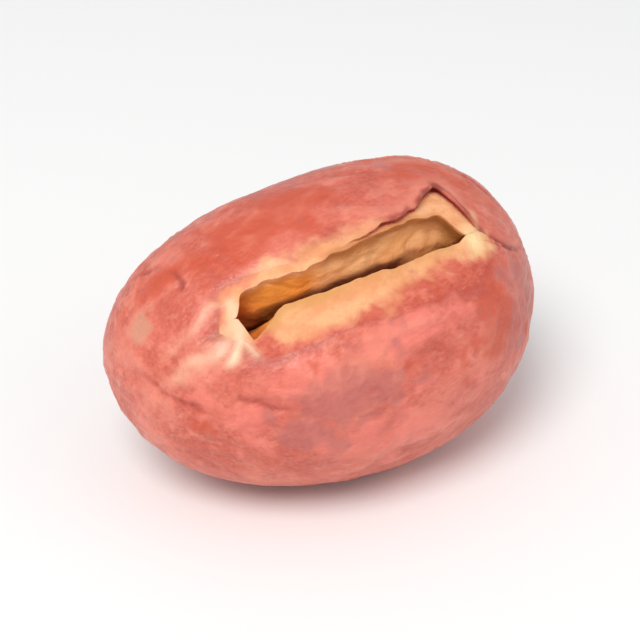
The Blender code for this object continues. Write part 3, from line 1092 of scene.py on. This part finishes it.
def stretched_place(tree, stretch):
    """Object coordinates, squeezed along X so that patterns are drawn out along the bean."""
    place = add_node(tree, "ShaderNodeTexCoord").outputs["Object"]
    return add_node(
        tree, "ShaderNodeMapping", {"Vector": place, "Scale": (1 / stretch, 1, 1)}
    ).outputs["Vector"]


def spread(tree, value, low, high, top=1.0):
    """The value from low to high, stretched from 0 to top."""
    made = add_node(
        tree,
        "ShaderNodeMapRange",
        {"Value": value, "From Min": low, "From Max": high, "To Max": top},
    )
    return made.outputs["Result"]


def add_grain(tree, shader, place, wave):
    """A grain that is too fine for the mesh."""
    grain = mottle(tree, place, wave, 0.25, 0.75, 4.0)
    made = add_node(
        tree, "ShaderNodeBump", {"Height": grain, "Strength": 0.5, "Distance": GRAIN_HEIGHT}
    )
    tree.links.new(made.outputs["Normal"], shader.inputs["Normal"])


def coat_material():
    material, tree, shader = new_material("dried_red_coat")
    place = stretched_place(tree, PATTERN_STRETCH)
    colour = painted(tree, mottled(tree, place, COAT_BASE, COAT_MOTTLES), COAT_PATCHES)
    # Painted shade in the relief's hollows, and paler crests, partly rubbed wear and partly painted
    # highlight
    relief_light_and_shade = field(tree, "relief_light_and_shade")
    colour = blend(tree, spread(tree, relief_light_and_shade, 0.55, 0.9, 0.4), colour, CREST_WEAR_AND_HIGHLIGHT)
    colour = blend(tree, spread(tree, relief_light_and_shade, 0.45, 0.1, 0.5), colour, HOLLOW_SHADE)
    flesh = mottled(tree, place, FLESH_BASE, FLESH_MOTTLES)
    colour = painted(tree, blend(tree, field(tree, "cream"), colour, flesh), COAT_MARKS)
    tree.links.new(colour, shader.inputs["Base Color"])
    rough = add_node(
        tree,
        "ShaderNodeMapRange",
        {"Value": mottle(tree, place, 0.0006, 0.3, 0.7), "To Min": 0.33, "To Max": 0.52},
    )
    tree.links.new(rough.outputs["Result"], shader.inputs["Roughness"])
    add_grain(tree, shader, place, COAT_GRAIN)
    values = {
        "Sheen Weight": 0.08,
        "Sheen Roughness": 0.4,
        "Sheen Tint": (1.0, 0.74, 0.64, 1),
        "Subsurface Weight": 0.12,
        "Subsurface Radius": (1.0, 0.35, 0.2),
        "Subsurface Scale": 0.0005,
    }
    set_inputs(shader, values)
    return material


def flesh_material():
    material, tree, shader = new_material("cream_bean_flesh")
    place = stretched_place(tree, PATTERN_STRETCH)
    colour = mottled(tree, place, FLESH_BASE, FLESH_MOTTLES)
    # Inside the groove, partly painted bounce light between the halves
    in_groove = spread(tree, field(tree, "deep"), 0.02, 0.25)
    colour = blend(tree, in_groove, colour, painted(tree, WALL_BASE, WALL_COLOURS))
    colour = painted(tree, colour, FLESH_MARKS)
    skin = mottled(tree, place, COAT_BASE, COAT_MOTTLES)
    colour = painted(tree, blend(tree, field(tree, "covered"), colour, skin), (STREAK_AND_HIGHLIGHT,))
    tree.links.new(colour, shader.inputs["Base Color"])
    add_grain(tree, shader, place, FLESH_GRAIN)
    values = {
        "Roughness": 0.7,
        "Specular IOR Level": 0.3,
        "Subsurface Weight": 0.2,
        "Subsurface Radius": (1.0, 0.6, 0.3),
        "Subsurface Scale": 0.0004,
    }
    set_inputs(shader, values)
    return material


# The stage


def build_floor():
    mesh = bpy.data.meshes.new("pale_floor")
    corners = [(x * FLOOR_HALF, y * FLOOR_HALF, 0) for x, y in ((-1, -1), (1, -1), (1, 1), (-1, 1))]
    mesh.from_pydata(corners, [], [(0, 1, 2, 3)])
    material, _, shader = new_material("pale_floor")
    set_inputs(shader, {"Base Color": FLOOR_COLOUR, "Roughness": 0.6})
    mesh.materials.append(material)
    floor = bpy.data.objects.new("pale_floor", mesh)
    bpy.context.scene.collection.objects.link(floor)


def add_softbox(name, direction, distance, size, power, colour):
    light = bpy.data.lights.new(name, "AREA")
    light.shape = "DISK"
    light.size = size
    light.energy = power
    light.color = colour
    lamp = bpy.data.objects.new(name, light)
    lamp.location = Vector(direction).normalized() * distance
    lamp.rotation_euler = (-lamp.location).to_track_quat("-Z", "Y").to_euler()
    bpy.context.scene.collection.objects.link(lamp)


def build_stage():
    build_floor()
    world = bpy.data.worlds.new("soft_daylight")
    world.use_nodes = True
    background = world.node_tree.nodes["Background"]
    set_inputs(background, {"Color": (1.0, 1.0, 1.0, 1), "Strength": DAYLIGHT})
    bpy.context.scene.world = world
    for softbox in SOFTBOXES:
        add_softbox(*softbox)
    bpy.context.scene.view_settings.view_transform = "Standard"


def build_camera():
    low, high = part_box("seed_coat")
    sideways = Vector((math.cos(CAMERA_AZIMUTH), math.sin(CAMERA_AZIMUTH), 0))
    aim = (low + high) / 2 - sideways * CAMERA_SHIFT
    flat = math.cos(CAMERA_ELEVATION)
    back = Vector(
        (
            math.sin(CAMERA_AZIMUTH) * flat,
            -math.cos(CAMERA_AZIMUTH) * flat,
            math.sin(CAMERA_ELEVATION),
        )
    )
    data = bpy.data.cameras.new("camera")
    data.lens = CAMERA_LENS
    data.clip_start = 0.001
    data.clip_end = 10
    camera = bpy.data.objects.new("camera", data)
    camera.location = aim + back * CAMERA_DISTANCE
    camera.rotation_euler = (-back).to_track_quat("-Z", "Y").to_euler()
    bpy.context.scene.collection.objects.link(camera)
    bpy.context.scene.camera = camera


def place_piece(name, made, middle, material, node):
    """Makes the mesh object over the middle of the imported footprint, in its node's stead."""
    vertices, faces, fields = made
    piece = mesh_object(name, vertices - middle, faces, fields, material)
    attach(piece, "root")
    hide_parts(node)


def main():
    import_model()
    build_camera()
    floor = floor_level()
    coat = build_coat(floor)
    low, high = coat[0].min(axis=0), coat[0].max(axis=0)
    middle = np.array([(low[0] + high[0]) / 2, (low[1] + high[1]) / 2, 0])
    flesh = flesh_material()
    place_piece("coat_skin", coat, middle, coat_material(), "seed_coat")
    for name, side in (("back", 1), ("front", -1)):
        half, node = build_flesh(side, floor), "seed_half_" + name
        place_piece("flesh_" + name, half, middle, flesh, node)
    build_stage()


main()
